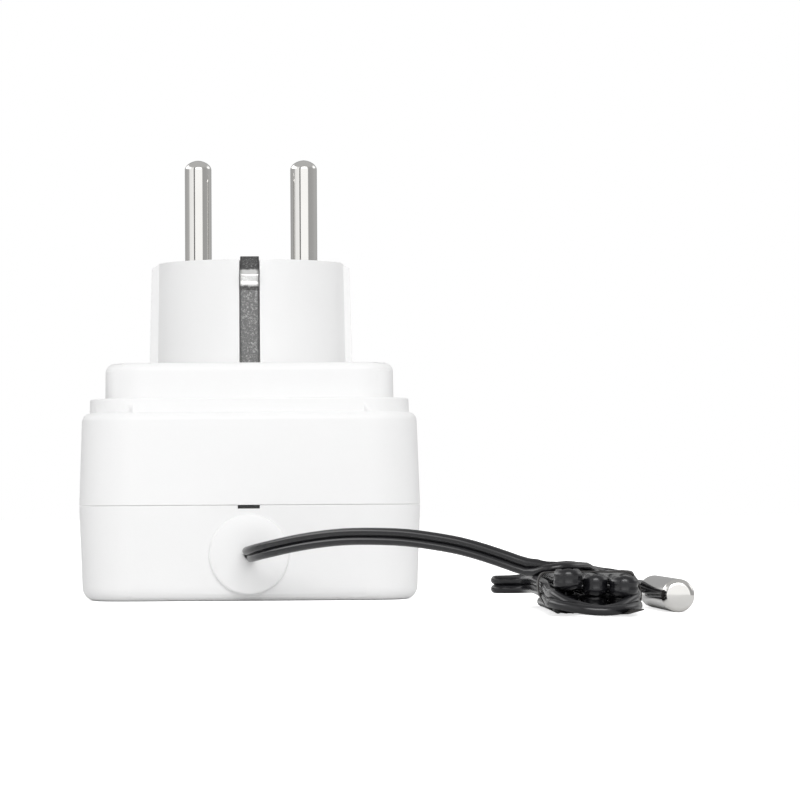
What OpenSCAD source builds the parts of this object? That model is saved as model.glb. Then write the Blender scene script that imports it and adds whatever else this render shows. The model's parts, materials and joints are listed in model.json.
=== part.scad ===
// Plug-in power meter with a temperature probe: a mains plug on the back, an outlet,
// a display and four keys on the front, and a thin twin lead that ends in a steel probe.
// Front face down on z = 0, plug pins up, lead end towards -Y, millimetres.

/* [Housing] */
// Width of the housing at the parting line
body_w = 59; // [57:0.5:72]
// Length of the housing from the lead end to the display end
body_l = 118; // [114:1:150]
// Plan radius of the housing's corners
corner_r = 9.5; // [8:0.5:11]
// Height of the front half
front_h = 16.4; // [16:0.1:20]
// Height of the rear half without its steps
rear_h = 16; // [14:0.5:22]
// Wall thickness of both halves
wall = 2; // [1.6:0.1:2.5]
// How much narrower each half is at its outer face, on each side
draft = 0.5; // [0:0.1:0.8]
// Rounding of the front face's rim
front_edge_r = 2.3; // [1:0.1:3]
// Rounding of the rear face's rim
rear_edge_r = 1.5; // [0.5:0.1:2.5]
// Height of the lower step under the plug
low_step_h = 2.4; // [1.5:0.1:4]
// How far the lower step stands back from the housing's side
low_step_in = 1.8; // [1:0.1:3]
// Height of the upper step under the plug
high_step_h = 6.2; // [4:0.1:9]
// How far the upper step stands back from the lower one
high_step_in = 2.65; // [1.5:0.05:3]

/* [Plug] */
// Distance from the lead end to the plug's axis
plug_from_end = 33; // [32:0.5:36]
// Radius of the plug's collar
collar_r = 18.1; // [17:0.1:18.5]
// Height of the collar above the upper step
collar_h = 18.5; // [17:0.1:22]
// Distance between the pin centres
pin_pitch = 19; // [18.5:0.1:19.5]
// Radius of a pin
pin_r = 2.4; // [2:0.05:2.5]
// Length of a pin beyond the collar
pin_out = 19; // [17:0.5:21]
// Width of the earth strip on the collar
earth_w = 3.3; // [3:0.1:4.5]

/* [Outlet] */
// Radius of the outlet's well
well_r = 19.75; // [19.5:0.05:20]
// Depth of the outlet's well
well_depth = 17.5; // [16:0.5:18]
// Wall of the outlet's well
well_wall = 1.5; // [1.2:0.1:1.8]
// Radius of a pin hole in the well's floor
pin_hole_r = 2.75; // [2.6:0.05:2.9]
// Thickness of the child-safety shutter
shutter_t = 2; // [1.6:0.1:2.2]

/* [Display and keys] */
// Width of the display opening
window_w = 40; // [34:1:42]
// Length of the display opening
window_l = 24; // [18:1:26]
// Radius of a key's cap
key_r = 3.5; // [3:0.1:3.8]
// Distance between the keys
key_pitch = 11; // [10.5:0.1:11.2]
// Travel of a key
key_travel = 0.4; // [0.2:0.05:0.6]
// How far the keys and the window lie below the front face
face_recess = 0.3; // [0.2:0.05:0.5]

/* [Boards] */
// Thickness of both circuit boards
board_t = 1.6; // [1:0.1:1.8]
// Height of the display board above the front face
display_board_z = 8; // [7.8:0.1:8.5]
// Height of the power board above the front face
power_board_z = 27; // [26.5:0.1:27.2]

/* [Lead and probe] */
// Width of the twin lead
lead_w = 2.9; // [2.4:0.1:3.2]
// Thickness of the twin lead
lead_t = 1.45; // [1.2:0.05:1.6]
// Radius of the round bush that the lead leaves by
bush_r = 6.75; // [6:0.05:7]
// Length of the folded hank
hank_l = 60; // [50:1:62]
// Width of the folded hank
hank_w = 15; // [13:0.5:16]
// Height of the folded hank
hank_h = 8.4; // [7:0.1:9]
// Diameter of the probe
probe_d = 5; // [4:0.1:5]
// Length of the probe's steel sleeve
probe_l = 29; // [24:1:30]

/* [Fits] */
// Gap between pieces that are only put together
gap = 0.15; // [0.1:0.01:0.2]
// Radial gap of a turning or sliding fit
running = 0.06; // [0.03:0.01:0.1]
// Thickness of the contact strips
strip_t = 0.8; // [0.6:0.1:1]

/* [Hidden] */
$fn = 48;

plug_y = plug_from_end - body_l / 2;
pin_x = pin_pitch / 2;
rear_z = front_h + rear_h;
low_step_z = rear_z + low_step_h;
roof_z = low_step_z + high_step_h;
roof_in_z = roof_z - wall;
collar_z = roof_z + collar_h;
tip_z = collar_z + pin_out;

// The steps are centred on the plug and keep the same margin on both sides of it
low_step_w = body_w - 2 * low_step_in;
high_step_w = low_step_w - 2 * high_step_in;
low_step_l = 2 * (plug_from_end - low_step_in);
high_step_l = low_step_l - 2 * high_step_in;
low_step_r = corner_r - 1.4;
high_step_r = corner_r - 3;
low_edge_r = 0.3;
high_edge_r = 1.5;
step_draft = 0.1;

// How far joined shapes run into each other, and the radial gap of a threaded or pressed fit
root = 0.5;
snug = 0.02;

// Stack of the outlet's contacts, from the well's floor to the plug's collar
floor_t = 1.8;
floor_z = well_depth + floor_t;
shutter_gap = 0.3;
carrier_z = floor_z + shutter_t + 2 * shutter_gap;
carrier_t = 1.5;
bracket_z = carrier_z + carrier_t;
flange_t = 1.2;
flange_z = roof_in_z - flange_t;
collar_wall = 3;
earth_base_z = flange_z - strip_t;
feed_z = flange_z - 0.2 - strip_t;
shoulder_t = 1.2;
shoulder_r = 3.5;
shoulder_z = feed_z + strip_t;
pin_boss_r = 4.5;
shank_r = pin_r + 0.4;
receptacle_r = 3.1;
receptacle_bore_r = pin_r + 0.05;
live_receptacle_top = feed_z - 0.9;
load_z = bracket_z + 9.6;
feed_w = 5;
arm_x = pin_x + 9;
arm_half = 2.2;
shutter_pivot_r = 1.5;

// Screws
case_screw_r = 1.5;
case_head_r = 2.8;
case_head_t = 2.2;
case_ledge = 3;
screw_boss_r = case_screw_r + 1.7;
screw_well_r = case_head_r + 1.4;
near_screw = [20.5, -body_l / 2 + corner_r];
far_screw = [body_w / 2 - wall - 5, body_l / 2 - wall - 5.5];
small_screw_r = 1;
small_head_r = 1.9;
small_head_t = 1.4;
carrier_screw_y = 12.5;
collar_screw_at = 20;
flange_r = 21.5;
insert_rim_r = well_r + well_wall + 1.75;

// Display and keys, placed from the outlet's edge
keys_y = plug_y + well_r + 11.75;
window_y = keys_y + 21.5;
frame_w = window_w + 3;
frame_l = window_l + 6;
glass_z = wall + 0.7;
glass_t = 2.8;
flange_gap = 0.25;
key_flange_r = key_r + 0.9;
key_flange_t = 0.8;
key_back_z = wall + 1.4;
switch_z = key_back_z + 1.1;
switch_w = 6;
plunger_r = 1.7;
display_board_w = body_w - 9;
display_board_y0 = plug_y + well_r + 6.45;
display_board_y1 = far_screw[1] - screw_well_r + 0.1;
post_x = display_board_w / 2 - 2.4;
post_y0 = display_board_y0 + 2.2;
post_y1 = display_board_y1 - 2.2;
post_r = 2.2;
power_board_y0 = plug_y + 23.4;
power_board_y1 = far_screw[1] - screw_well_r - 0.8;
leg_y = plug_y + high_step_l / 2 - wall - 1.45;
part_z = display_board_z + board_t;

// Lead end
bush_z = 8;
bush_out = 0.5;
bush_flange_r = bush_r + 1;
slot_w = 3.8;
slot_h = 0.75;
slot_depth = 1.2;
lip_t = 0.8;
lip_h = 1.3;

// Route of the lead outside the housing, from the bush to the hank, in millimetres
lead_route = [[0, -59, 8], [0, -62, 8], [0.3, -65, 8.1], [1.6, -68.5, 8.5], [4, -72, 9.1],
    [7.5, -76, 9.9], [11.5, -80.5, 10.6], [16, -85.5, 11.1], [21, -91, 11.2], [26, -96, 11],
    [30.5, -100, 10.4], [34.5, -103.5, 9.7], [38, -106.3, 8.8], [41.5, -109, 7.8], [44.5, -111.6, 6.7]];
// Route of the lead inside the housing, from the bush round the outlet to its plug
inner_route = [[0, -59, 8], [0, -56.6, 8], [0, -54.6, 8], [0.9, -52.4, 8], [3.2, -50.8, 8],
    [7.5, -49.1, 8], [12.15, -47, 8], [17.2, -43.2, 8], [21, -38.2, 8], [23.5, -32.3, 8],
    [24.3, -26, 8], [24.3, -18.5, 8.8], [23.5, -12.5, 10.6], [20.5, -8.2, 12], [17.4, -7, 12.6],
    [16.5, -5.2, 12.6], [16.5, -3.6, 12.6]];
// Route from the hank to the probe
probe_route = [[56, -94, 3.2], [56, -91, 3.2], [56.6, -88, 3], [58.4, -86, 2.8], [60.8, -85.4, 2.6],
    [62.8, -86.6, 2.5], [63.7, -89.4, 2.5], [64, -93, 2.5], [64.12, -98, 2.5], [64.31, -104, 2.5],
    [64.5, -110, 2.5]];
hank_x = 52;
hank_y = -124;
tie_w = 3.2;
tie_t = 0.6;
tie_y = -136;
probe_x = 64.5;
probe_y = -110;
probe_turn = 1.8;
sleeve_wall = 0.4;

// ---- Shapes that repeat ----

// Puts its children at the four corners of a rectangle
module at_corners(x, y) {
    for (sx = [-1, 1], sy = [-1, 1]) translate([sx * x, sy * y, 0]) children();
}

// Half profile of a moulded block: radius r, height h, rim rounding e and inset d at each end
function block_profile(r, h, e0, d0, e1, d1) = concat(
    [[0, 0]],
    [for (a = [0:15:90]) [r - d0 - e0 + e0 * sin(a), e0 - e0 * cos(a)]],
    [for (a = [90:-15:0]) [r - d1 - e1 + e1 * sin(a), h - e1 + e1 * cos(a)]],
    [[0, h]]);

// Block with round plan corners, rounded rims and draft
module block(w, l, h, r, e0, d0, e1, d1) {
    hull() at_corners(w / 2 - r, l / 2 - r)
        rotate_extrude($fn = 32) polygon(block_profile(r, h, e0, d0, e1, d1));
}

// Plain plate with round plan corners
module plate(w, l, h, r) {
    corners = [[1, 1], [-1, 1], [-1, -1], [1, -1]];
    linear_extrude(h) polygon([for (i = [0:3], a = [90 * i:10:90 * i + 90])
        [corners[i][0] * (w / 2 - r) + r * cos(a), corners[i][1] * (l / 2 - r) + r * sin(a)]]);
}

module box_at(x0, x1, y0, y1, z0, z1) {
    translate([x0, y0, z0]) cube([x1 - x0, y1 - y0, z1 - z0]);
}

// Cylinder from z0 to z1
module rod(r, z0, z1) {
    translate([0, 0, z0]) cylinder(r = r, h = z1 - z0);
}

// Puts its children on the plug's axis
module on_plug() {
    translate([0, plug_y, 0]) children();
}

module at_case_screws() {
    for (s = [-1, 1]) {
        translate([s * near_screw[0], near_screw[1], 0]) children();
        translate([s * far_screw[0], far_screw[1], 0]) children();
    }
}

module at_board_posts() {
    for (s = [-1, 1], y = [post_y0, post_y1]) translate([s * post_x, y, 0]) children();
}

// Outline of a bent strip of thickness t along the open line p
function unit(v) = v / norm(v);
function side_at(p, i) = let (
    a = i > 0 ? unit(p[i] - p[i - 1]) : unit(p[1] - p[0]),
    b = i < len(p) - 1 ? unit(p[i + 1] - p[i]) : a,
    m = unit(a + b)) [-m[1], m[0]] / (a * m);
function band(p, t) = concat(
    [for (i = [0:len(p) - 1]) p[i] + side_at(p, i) * t / 2],
    [for (i = [len(p) - 1:-1:0]) p[i] - side_at(p, i) * t / 2]);

// Strip bent along p in the YZ plane, w wide along X
module bent_strip(p, w, t) {
    rotate([90, 0, 90]) translate([0, 0, -w / 2]) linear_extrude(w) polygon(band(p, t));
}

// Tube of an oval section swept along a route, wide upright and thin across
function tangent(p, i) = unit(p[min(i + 1, len(p) - 1)] - p[max(i - 1, 0)]);
function across(t) = unit(cross(t, [0, 0, 1]));
function ring(p, i, w, t, sides) = let (d = tangent(p, i), s = across(d), u = cross(s, d))
    [for (k = [0:sides - 1]) p[i] + u * w / 2 * cos(360 * k / sides) + s * t / 2 * sin(360 * k / sides)];
module swept(p, w, t, sides) {
    n = len(p);
    points = [for (i = [0:n - 1]) each ring(p, i, w, t, sides)];
    faces = concat(
        [[for (k = [0:sides - 1]) k]],
        [for (i = [0:n - 2], k = [0:sides - 1]) let (a = i * sides + k, b = i * sides + (k + 1) % sides)
            [a, a + sides, b + sides, b]],
        [[for (k = [sides - 1:-1:0]) (n - 1) * sides + k]]);
    polyhedron(points = points, faces = faces, convexity = 6);
}

// Pan-head screw pointing down from its head's seat at z
module screw(z, shaft_r, shaft_l, head_r, head_t) {
    slot = head_r * 0.6;
    difference() {
        union() {
            rod(shaft_r, z - shaft_l, z);
            rod(head_r, z, z + head_t);
        }
        for (a = [0, 90]) rotate(a) box_at(-slot, slot, -0.3, 0.3, z + head_t * 0.4, z + 2 * head_t);
    }
}

module small_screw(z, shaft_l) screw(z, small_screw_r, shaft_l, small_head_r, small_head_t);

// ---- Housing ----

module front_shell() color("white") difference() {
    union() {
        difference() {
            block(body_w, body_l, front_h, corner_r, front_edge_r, draft, gap, 0);
            translate([0, 0, wall]) plate(body_w - 2 * wall, body_l - 2 * wall, front_h, corner_r - wall);
        }
        at_case_screws() rod(screw_boss_r, wall - root, front_h);
        at_board_posts() rod(post_r, wall - root, display_board_z);
    }
    on_plug() rod(insert_rim_r + gap, -1, wall + 1);
    on_window(window_w, window_l, -1, wall + 1);
    at_keys() rod(key_r + gap, -1, wall + 1);
    at_case_screws() rod(case_screw_r + snug, wall + 2, front_h + 1);
    at_board_posts() rod(small_screw_r + snug, wall + 1, display_board_z + 1);
    translate([0, -body_l / 2, 0]) {
        translate([0, 0, bush_z]) rotate([90, 0, 0]) rod(bush_r + gap, -wall - 1, 2);
        box_at(-slot_w / 2, slot_w / 2, -1, slot_depth, front_h - slot_h, front_h + 1);
    }
}

module rear_shell() color("white") difference() {
    union() {
        difference() {
            rear_outside();
            translate([0, 0, front_h - 1])
                plate(body_w - 2 * wall, body_l - 2 * wall, rear_h + 1 - wall, corner_r - wall);
            on_plug() translate([0, 0, rear_z - wall - 1])
                plate(high_step_w - 2 * wall, high_step_l - 2 * wall, roof_in_z - rear_z + wall + 1,
                    high_step_r - wall);
        }
        rear_lip();
        translate([0, 0, front_h]) at_case_screws() rod(screw_well_r, 0, rear_h - wall + root);
        for (s = [-1, 1]) translate([s * near_screw[0], near_screw[1], 0])
            rod(screw_well_r, front_h, roof_in_z + root);
        at_board_posts() rod(post_r, power_board_z + board_t, rear_z - wall + root);
    }
    at_case_screws() {
        rod(case_screw_r + 0.1, front_h - 1, roof_z + 1);
        rod(case_head_r + 0.2, front_h + case_ledge, roof_z + 1);
    }
    at_board_posts() rod(small_screw_r + snug, power_board_z, rear_z - 0.9);
    on_plug() {
        collar_plan(gap, roof_in_z - 1, roof_z + 1);
        for (a = [45:90:315]) rotate(a) translate([collar_screw_at, 0, 0])
            rod(small_screw_r + snug, roof_in_z - 1, roof_z - 0.6);
    }
}

module rear_outside() {
    translate([0, 0, front_h]) block(body_w, body_l, rear_h, corner_r, gap, 0, rear_edge_r, draft);
    on_plug() {
        translate([0, 0, rear_z - 1])
            block(low_step_w, low_step_l, low_step_h + 1, low_step_r, 0.1, 0, low_edge_r, step_draft);
        translate([0, 0, low_step_z - 1])
            block(high_step_w, high_step_l, high_step_h + 1, high_step_r, 0.1, 0, high_edge_r, step_draft);
    }
}

// Locating lip inside the parting line
module rear_lip() {
    lip_w = body_w - 2 * (wall + gap);
    lip_l = body_l - 2 * (wall + gap);
    lip_r = corner_r - wall - gap;
    translate([0, 0, front_h]) difference() {
        union() {
            translate([0, 0, -lip_h]) plate(lip_w, lip_l, lip_h + root, lip_r);
            plate(body_w - wall, body_l - wall, 1, corner_r - wall / 2);
        }
        translate([0, 0, -lip_h - 1]) plate(lip_w - 2 * lip_t, lip_l - 2 * lip_t, lip_h + 3, lip_r - lip_t);
    }
}

// Plan of the collar grown by g: a circle with flat-sided pads towards +X and -X
module collar_plan(g, z0, z1) {
    pad_y = 6.5;
    pad_y_in = 8.05;
    pad_x_in = collar_r - 2;
    translate([0, 0, z0]) linear_extrude(z1 - z0) union() {
        circle(collar_r + g);
        polygon([for (s = [1, -1]) each [[s * (collar_r + g), -s * (pad_y + g)],
            [s * (collar_r + g), s * (pad_y + g)], [s * (pad_x_in - 1), s * (pad_y_in + g)]]]);
    }
}

module plug_collar() color("white") on_plug() difference() {
    groove_depth = 2.1;
    groove_half = 2.7;
    strip_half = earth_w / 2 + gap;
    strip_in = collar_r - strip_t - 0.25;
    union() {
        collar_plan(0, flange_z, collar_z);
        rod(flange_r, flange_z, roof_in_z);
    }
    difference() {
        rod(collar_r - collar_wall, flange_z - 1, collar_z - collar_wall);
        for (s = [0, 180]) rotate(s) {
            translate([pin_x, 0, 0]) rod(pin_boss_r, shoulder_z + shoulder_t, collar_z);
            box_at(collar_r - groove_depth - collar_wall + 0.9, collar_r, -4.5, 4.5, 0, collar_z);
        }
    }
    for (s = [0, 180]) rotate(s) {
        translate([pin_x, 0, 0]) rod(shank_r + snug, flange_z, collar_z + 1);
        box_at(collar_r - groove_depth, collar_r + 1, -groove_half, groove_half, roof_z, collar_z + 1);
        box_at(-strip_half, strip_half, strip_in, collar_r + 0.4, flange_z - 1, collar_z + 1);
        box_at(-strip_half, strip_half, collar_r - 2.6, collar_r, collar_z - 3, collar_z + 1);
    }
    for (a = [45:90:315]) rotate(a) translate([collar_screw_at, 0, 0])
        rod(small_screw_r + 0.1, flange_z - 1, roof_in_z + 1);
}

// ---- Plug contacts ----

// Pin with a domed tip and a shoulder under the collar
module plug_pin(x) {
    dome = 1.8;
    color("gainsboro") on_plug() translate([x, 0, 0]) rotate_extrude() polygon(concat(
        [[0, shoulder_z], [shoulder_r, shoulder_z], [shoulder_r, shoulder_z + shoulder_t],
        [shank_r, shoulder_z + shoulder_t], [shank_r, collar_z], [pin_r, collar_z]],
        [for (a = [0:15:90]) [pin_r * pow(cos(a), 0.6), tip_z - dome + dome * sin(a)]]));
}

module live_pin() plug_pin(pin_x);
module neutral_pin() plug_pin(-pin_x);

// One stamped strip: up both sides of the collar, joined underneath
module plug_earth_strip() {
    r = collar_r - 0.15 - strip_t / 2;
    side = [[r, earth_base_z + strip_t / 2], [r, collar_z - 5.3], [r + 0.65, collar_z - 4.4],
        [r + 0.65, collar_z - 2.9], [r, collar_z - 1.9], [r - 1.6, collar_z + 0.4]];
    line = concat([for (i = [len(side) - 1:-1:0]) [-side[i][0], side[i][1]]], side);
    color("silver") on_plug() bent_strip(line, earth_w, strip_t);
}

// Strip from a contact at x to the power board
module board_strip(x, z, w) {
    line = [[-4, z + strip_t / 2], [leg_y - plug_y, z + strip_t / 2], [leg_y - plug_y, power_board_z - 1]];
    on_plug() translate([x, 0, 0]) bent_strip(line, w, strip_t);
}

module live_feed_strip() color("goldenrod") board_strip(pin_x, feed_z, feed_w);
module neutral_strip() color("goldenrod") board_strip(-pin_x, feed_z, feed_w);

// Eye round the live receptacle, with an arm beside it down to the board
module live_load_strip() color("goldenrod") on_plug() {
    leg = leg_y - plug_y;
    top_z = load_z + strip_t;
    arm_x0 = arm_x - arm_half;
    arm_x1 = arm_x + arm_half;
    difference() {
        union() {
            translate([pin_x, 0, 0]) rod(receptacle_r + 1.4, load_z, top_z);
            box_at(pin_x, arm_x1, -arm_half, arm_half, load_z, top_z);
            box_at(arm_x0, arm_x1, -arm_half, leg + strip_t / 2, load_z, top_z);
            box_at(arm_x0, arm_x1, leg - strip_t / 2, leg + strip_t / 2, power_board_z - 1, top_z);
        }
        translate([pin_x, 0, 0]) rod(receptacle_r + snug, load_z - 1, top_z + 1);
    }
}

module insulating_washer() color("burlywood") on_plug() translate([pin_x, 0, 0])
    rod(4.8, live_receptacle_top + gap, live_receptacle_top + 0.75);

module earth_post() color("silver") on_plug() rod(2, bracket_z + strip_t, earth_base_z);

// ---- Outlet ----

module socket_insert() color("white") on_plug() difference() {
    outer_r = well_r + well_wall;
    union() {
        difference() {
            union() {
                rod(outer_r, 0, floor_z);
                rod(insert_rim_r, 0, wall);
                rod(insert_rim_r + 1.45, wall, wall + 1.2);
            }
            rod(well_r, -1, well_depth);
        }
        for (s = [0, 180]) rotate(s) box_at(well_r - 2.3, well_r + 1, -2.4, 2.4, 0.6, floor_z);
    }
    for (s = [0, 180]) rotate(s) {
        translate([pin_x, 0, 0]) rod(pin_hole_r, well_depth - 1, floor_z + 1);
        box_at(-2.6, 2.6, well_r - 1, outer_r + 1, 4, 15.5);
        translate([0, carrier_screw_y, 0]) rod(small_screw_r + snug, well_depth + 0.5, floor_z + 1);
    }
}

// Base that covers the shutter, with a tube round each receptacle
module contact_carrier() color("ivory") on_plug() {
    carrier_r = 18;
    difference() {
        union() {
            rod(carrier_r, carrier_z, bracket_z);
            difference() {
                rod(carrier_r, floor_z, carrier_z + root);
                rod(carrier_r - 1.6, floor_z - 1, carrier_z + 1);
            }
            for (s = [0, 180]) rotate(s) {
                translate([pin_x, 0, 0]) rod(receptacle_r + 1.5, bracket_z - root, load_z);
                translate([0, carrier_screw_y, 0]) rod(2.6, floor_z, carrier_z + root);
            }
            rod(shutter_pivot_r, floor_z + gap, carrier_z + root);
        }
        for (s = [0, 180]) rotate(s) {
            translate([pin_x, 0, 0]) {
                rod(pin_hole_r, carrier_z - 1, bracket_z + 1);
                rod(receptacle_r + snug, bracket_z, load_z + 1);
            }
            translate([0, carrier_screw_y, 0]) rod(small_screw_r + 0.1, floor_z - 1, bracket_z + 1);
        }
    }
}

// Springy tube with four slits, open towards the well
module receptacle(x, top) color("goldenrod") on_plug() translate([x, 0, 0]) difference() {
    slit_end = receptacle_r + 1;
    rod(receptacle_r, bracket_z, top);
    rod(receptacle_bore_r, bracket_z - 1, top + 1);
    for (a = [45, 135]) rotate(a) box_at(-slit_end, slit_end, -0.3, 0.3, bracket_z - 1, bracket_z + 8);
}

module live_receptacle() receptacle(pin_x, live_receptacle_top);
module neutral_receptacle() receptacle(-pin_x, feed_z);

// Earth contacts of the outlet: a strip over the carrier, legs outside the well, noses inside it
module socket_earth_bracket() {
    leg = well_r + well_wall + 0.25 + strip_t / 2;
    side = [[leg, bracket_z + strip_t / 2], [leg, 6], [leg - 2.4, 5], [well_r - 2.6, 8.5],
        [well_r - 2.6, 10.5], [well_r - 0.6, 14]];
    line = concat([for (i = [len(side) - 1:-1:0]) [-side[i][0], side[i][1]]], side);
    color("silver") on_plug() difference() {
        bent_strip(line, 4.6, strip_t);
        for (s = [-1, 1]) translate([0, s * carrier_screw_y, 0])
            rod(small_screw_r + 0.1, bracket_z - 1, bracket_z + strip_t + 1);
    }
}

// Two lobes that cover the pin holes, turning on the carrier's pivot
module shutter() color("lightgrey") on_plug() {
    z0 = floor_z + shutter_gap;
    lobe_r = pin_x + pin_hole_r + 0.9;
    side_x = lobe_r * 1.3;
    side_y = side_x * tan(19);
    pivot_hole_r = shutter_pivot_r + running;
    difference() {
        union() {
            rod(5, z0, z0 + shutter_t);
            intersection() {
                rod(lobe_r, z0, z0 + shutter_t);
                translate([0, 0, z0]) linear_extrude(shutter_t) polygon([for (s = [1, -1]) each
                    [[s * side_x, -s * side_y], [s * side_x, s * side_y], [0, 0]]]);
            }
        }
        rod(pivot_hole_r, z0 - 1, z0 + shutter_t + 1);
        rod(3.9, z0 + 0.7, z0 + shutter_t + 1);
    }
}

// Torsion spring round the pivot, in the shutter's hub
module shutter_spring() {
    wire_r = 0.2;
    coil_r = 2.6;
    turns = 2;
    z0 = floor_z + shutter_gap + 1.05;
    steps = 16;
    route = [for (i = [0:steps * turns]) [coil_r * cos(360 * i / steps), coil_r * sin(360 * i / steps),
        z0 + 0.5 * i / steps]];
    color("dimgray") on_plug() swept(route, 2 * wire_r, 2 * wire_r, 6);
}

module carrier_screws() color("silver") on_plug() for (s = [-1, 1]) translate([0, s * carrier_screw_y, 0])
    small_screw(bracket_z + strip_t, bracket_z + strip_t - well_depth - 0.8);

module collar_screws() color("silver") on_plug() for (a = [45:90:315]) rotate(a)
    translate([collar_screw_at, 0, 0]) mirror([0, 0, 1]) small_screw(-flange_z, 2.4);

module case_screws() color("silver") at_case_screws()
    screw(front_h + case_ledge, case_screw_r, 13, case_head_r, case_head_t);

// ---- Display and keys ----

// Plate w by l, centred on the display, from z0 to z1
module on_window(w, l, z0, z1) {
    box_at(-w / 2, w / 2, window_y - l / 2, window_y + l / 2, z0, z1);
}

module display_window() color("lightsteelblue") {
    on_window(window_w - 2 * gap, window_l - 2 * gap, face_recess, wall + 0.1);
    on_window(frame_w, window_l + 3, wall, wall + 0.6);
}

module display_glass() color("darkseagreen") on_window(window_w, window_l + 2, glass_z, glass_z + glass_t);

module display_frame() color("whitesmoke") difference() {
    on_window(frame_w, frame_l, glass_z, display_board_z);
    on_window(window_w + 0.4, window_l + 2.4, glass_z - 1, display_board_z + 1);
}

module display_contacts() color("dimgray") for (s = [-1, 1]) translate([0, s * (window_l / 2 - 0.4), 0])
    on_window(window_w - 2, 2.2, glass_z + glass_t, display_board_z);

// Board from y0 to y1 with its four screw holes
module board(y0, y1, z) difference() {
    box_at(-display_board_w / 2, display_board_w / 2, y0, y1, z, z + board_t);
    at_board_posts() rod(small_screw_r + 0.1, z - 1, z + board_t + 1);
}

module display_board() color("seagreen") board(display_board_y0, display_board_y1, display_board_z);

module display_board_screws() color("silver") at_board_posts()
    small_screw(part_z, 6);

function key_x(i) = (i - 1.5) * key_pitch;

module at_keys() {
    for (i = [0:3]) translate([key_x(i), keys_y, 0]) children();
}

module key(i) color("darkgrey") translate([key_x(i), keys_y, 0]) {
    rod(key_r, face_recess, key_back_z);
    rod(key_flange_r, wall + flange_gap, wall + flange_gap + key_flange_t);
}

module plunger(i) color("black") translate([key_x(i), keys_y, 0]) rod(plunger_r, key_back_z, switch_z + 1);

module mode_key() key(0);
module up_key() key(1);
module down_key() key(2);
module set_key() key(3);
module mode_plunger() plunger(0);
module up_plunger() plunger(1);
module down_plunger() plunger(2);
module set_plunger() plunger(3);

module key_switches() color("dimgray") at_keys() difference() {
    box_at(-switch_w / 2, switch_w / 2, -switch_w / 2, switch_w / 2, switch_z, display_board_z);
    rod(plunger_r + running, switch_z - 1, switch_z + 1 + key_travel + 0.2);
}

module display_chip() color("black") box_at(-17, -7, window_y - 8, window_y + 2, part_z, part_z + 1.4);

// Button cell that keeps the readings, with its clip
module memory_cell() color("silver") translate([4, window_y - 5, 0]) rod(6, part_z, part_z + 3.2);

module cell_clip() color("gainsboro") translate([4, window_y - 5, 0]) difference() {
    box_at(-7.2, 7.2, -2, 2, part_z, part_z + 3.7);
    box_at(-6.5, 6.5, -3, 3, part_z - 1, part_z + 3.2);
}

// ---- Sensor connection ----

// Plug of w by h in the header, both centred on the lead's end
header_x = 16.5;
header_mid_z = part_z + 3;
module header_block(w, h, y0, y1) {
    box_at(header_x - w / 2, header_x + w / 2, display_board_y0 + y0, display_board_y0 + y1,
        header_mid_z - h / 2, header_mid_z + h / 2);
}

module probe_header() color("ivory") difference() {
    header_block(8, 6, 0.8, 7.3);
    header_block(6, 4.2, 0, 5.8);
}

module probe_plug() color("ivory") header_block(5.8, 4, -3.8, 5.7);

module inner_lead() color("black") swept(inner_route, lead_w, lead_t, 8);

// Round disc proud of the end wall, with a flange behind it that stops at the floor and at the lip
module lead_bush() color("white") translate([0, -body_l / 2, bush_z]) rotate([90, 0, 0]) difference() {
    floor_y = wall + 0.05 - bush_z;
    lip_y = front_h - lip_h - gap - bush_z;
    union() {
        rotate_extrude() polygon([[0, -wall - 1.2], [bush_r, -wall - 1.2], [bush_r, bush_out - 0.3],
            [bush_r - 0.4, bush_out - 0.1], [bush_r - 1.5, bush_out], [0, bush_out]]);
        intersection() {
            rod(bush_flange_r, -wall - 1.4, -wall);
            box_at(-bush_r * 2, bush_r * 2, floor_y, lip_y, -wall - 2, 0);
        }
    }
    rod(lead_w / 2 + 0.1, -10, 10);
    box_at(-bush_r * 2, bush_r * 2, floor_y - wall, floor_y, -wall - 5, -wall);
}

// Crimped clip that keeps the lead from being pulled out
module lead_stop() color("silver") translate([0, -body_l / 2 + wall + 1.5, bush_z]) rotate([-90, 0, 0])
    difference() {
        rod(2.5, 0, 1.2);
        rod(lead_w / 2 + 0.05, -1, 3);
    }

// ---- Power board ----

module power_board() color("peru") difference() {
    board(power_board_y0, power_board_y1, power_board_z);
    slot_l = strip_t + 2 * gap;
    for (slot = [[-pin_x, feed_w], [pin_x, feed_w], [arm_x, 2 * arm_half]])
        translate([slot[0], leg_y, power_board_z + board_t / 2])
            cube([slot[1] + 2 * gap, slot_l, 2 * board_t], center = true);
}

module power_board_screws() color("silver") at_board_posts()
    mirror([0, 0, 1]) small_screw(-power_board_z, board_t + 2.6);

// Part hanging from the power board, h tall
module hung_box(x0, x1, y0, y1, h) {
    box_at(x0, x1, y0, y1, power_board_z - h, power_board_z);
}

module relay() color("royalblue") hung_box(-23.5, -4.5, window_y - 6, window_y + 9.5, 15.2);
module dropper_capacitor() color("gold") hung_box(1, 19, window_y + 4.5, window_y + 13, 13.5);
module smoothing_capacitor() color("midnightblue") translate([17, window_y - 7, 0])
    rod(5, power_board_z - 12, power_board_z);
module varistor() color("steelblue") hung_box(-3, 7, keys_y + 1, keys_y + 5, 11);
module fuse() color("whitesmoke") hung_box(-20, -10, keys_y + 2, keys_y + 6, 8);
module meter_chip() color("black") hung_box(-1, 9, window_y - 12, window_y - 6, 1.8);
module board_link() color("black") box_at(-9, 9, window_y + 15.8, window_y + 18.3, part_z, power_board_z);

// ---- Lead, hank and probe ----

module sensor_lead() color("black") swept(lead_route, lead_w, lead_t, 8);
module probe_lead() color("black") swept(probe_route, lead_w, lead_t, 8);

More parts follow.
